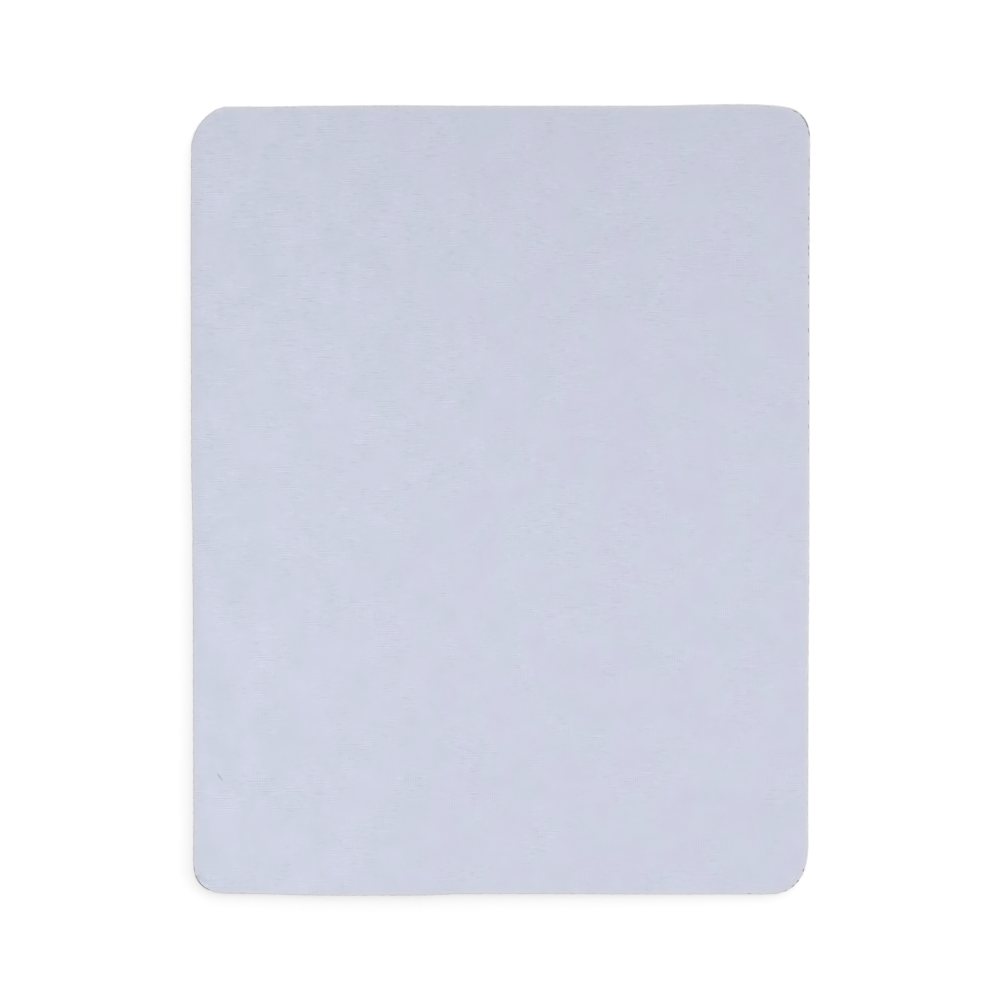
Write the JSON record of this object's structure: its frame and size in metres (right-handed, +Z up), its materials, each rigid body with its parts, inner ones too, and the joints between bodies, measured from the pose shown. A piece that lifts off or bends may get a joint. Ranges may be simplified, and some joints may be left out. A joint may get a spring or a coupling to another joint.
{
  "type": "mouse pad",
  "caption": "Thin rectangular desk pad with rounded corners: a fine-ribbed cloth top bonded to a black foam rubber base that grips the desk with ribs underneath.",
  "frame": {"origin": "middle of the underside, where the pad lies on the desk", "axes": "+X across the pad to the user's right, +Y along its long side to the rear edge, which is the top of the picture, and +Z up out of the cloth"},
  "size_m": [0.18, 0.23, 0.003],
  "materials": {
    "foam_rubber": "matte",
    "hot_melt_film": "satin",
    "polyester_cloth": "matte"
  },
  "bodies": {
    "root": {"rubber_base": "foam_rubber", "bond_film": "hot_melt_film", "top_cloth": "polyester_cloth"}
  },
  "joints": []
}
